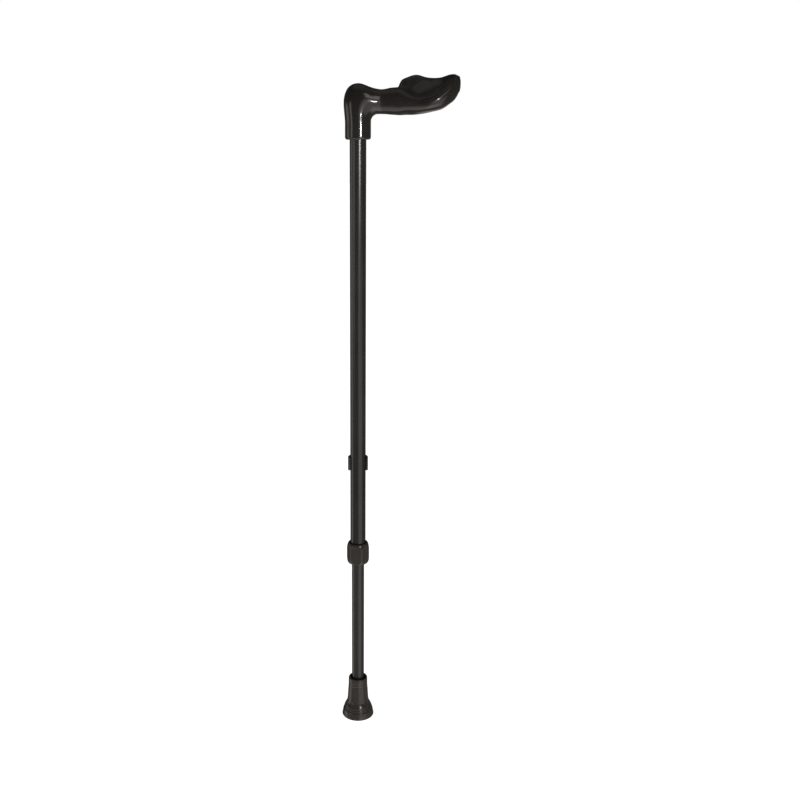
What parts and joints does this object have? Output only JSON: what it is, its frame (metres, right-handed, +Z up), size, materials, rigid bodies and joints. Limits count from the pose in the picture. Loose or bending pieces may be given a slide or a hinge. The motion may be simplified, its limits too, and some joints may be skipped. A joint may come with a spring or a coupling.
{
  "type": "adjustable walking stick",
  "caption": "Height-adjustable walking stick with an anatomical palm grip, a peg clip, a clamping nut and a flared rubber ferrule.",
  "frame": {"origin": "centre of the ferrule's sole, on the tubes' axis, at floor level", "axes": "+Z up along the tubes' axis; +X towards the rear end of the palm grip; +Y towards the side that carries the height clip"},
  "size_m": [0.1567, 0.0617, 0.9331],
  "materials": {
    "grip_moulding": "polished warm-black moulding",
    "upper_tube_coat": "satin black anodised",
    "lower_tube_coat": "satin black anodised",
    "clip_plastic": "satin black moulding",
    "clamp_plastic": "satin black moulding",
    "nylon": "dull black nylon",
    "steel": "zinc-plated steel",
    "foot_rubber": "matt black rubber"
  },
  "bodies": {
    "upper_stick": {"handle_grip": "grip_moulding", "tube_plug": "nylon", "handle_screw": "steel", "upper_tube": "upper_tube_coat", "clamp_sleeve": "nylon"},
    "clip": {"clip_band": "clip_plastic", "clip_peg": "steel"},
    "clamp_ring": {"clamp_ring": "nylon"},
    "clamp_nut": {"clamp_nut": "clamp_plastic"},
    "lower_stick": {"lower_tube": "lower_tube_coat", "guide_bush": "nylon", "ferrule": "foot_rubber", "ferrule_washer": "steel"}
  },
  "joints": [
    {"name": "height_slide", "type": "slide", "parent": "upper_stick", "child": "lower_stick", "axis": [0, 0, 1], "range_m": [-0.08, 0.16]},
    {"name": "clip_pull", "type": "slide", "parent": "upper_stick", "child": "clip", "axis": [0, 1, 0], "range_m": [0, 0.03], "deforming": ["clip_band"]},
    {"name": "ring_slide", "type": "slide", "parent": "upper_stick", "child": "clamp_ring", "axis": [0, 0, -1], "range_m": [0, 0.002]},
    {"name": "nut_turn", "type": "hinge", "parent": "clamp_ring", "child": "clamp_nut", "pos_m": [0, 0, 0.265], "axis": [0, 0, -1], "range_deg": [0, 360]}
  ],
  "couplings": [
    {"joint": "ring_slide", "follows": "nut_turn", "m_per_rad": 0.00031831}
  ]
}
